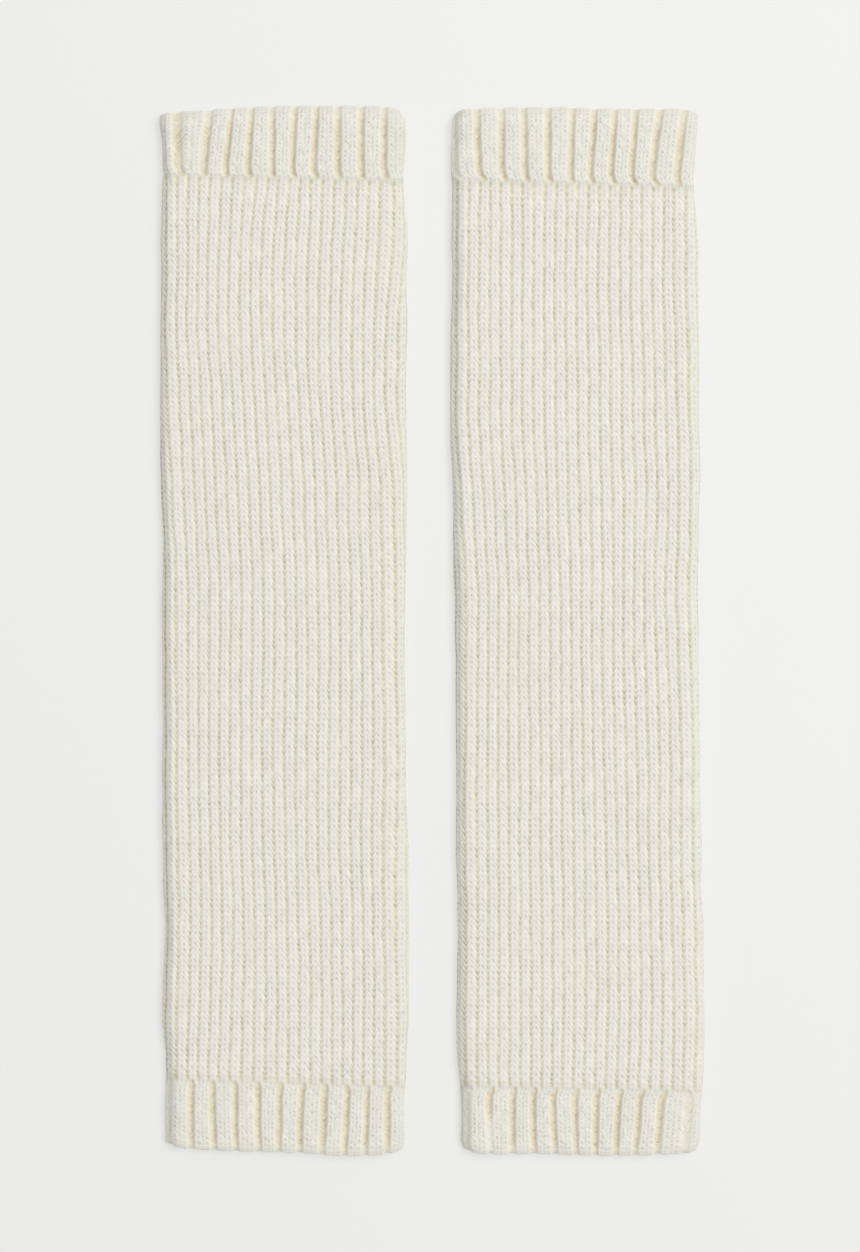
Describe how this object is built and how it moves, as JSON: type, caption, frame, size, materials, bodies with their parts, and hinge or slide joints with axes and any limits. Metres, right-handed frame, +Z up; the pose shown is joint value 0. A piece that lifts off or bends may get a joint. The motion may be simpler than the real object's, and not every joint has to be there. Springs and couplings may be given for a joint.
{
  "type": "pair of leg warmers",
  "caption": "Pair of straight rib-knit leg warmers laid flat side by side, each an open knitted tube with a wide-rib cuff at either end.",
  "frame": {"origin": "middle of the pair's flat underside, on the surface that the pair lies on", "axes": "+Z up from the surface; +Y along the tubes towards the upper cuffs; +X to the right, from the left leg warmer to the right one"},
  "size_m": [0.2191, 0.4224, 0.007],
  "materials": {
    "cream_knit": "soft matte wool-like rib knit, slightly fuzzy"
  },
  "bodies": {
    "root": {"left_top_cuff": "cream_knit", "left_body": "cream_knit", "left_bottom_cuff": "cream_knit", "right_top_cuff": "cream_knit", "right_body": "cream_knit", "right_bottom_cuff": "cream_knit"}
  },
  "joints": []
}
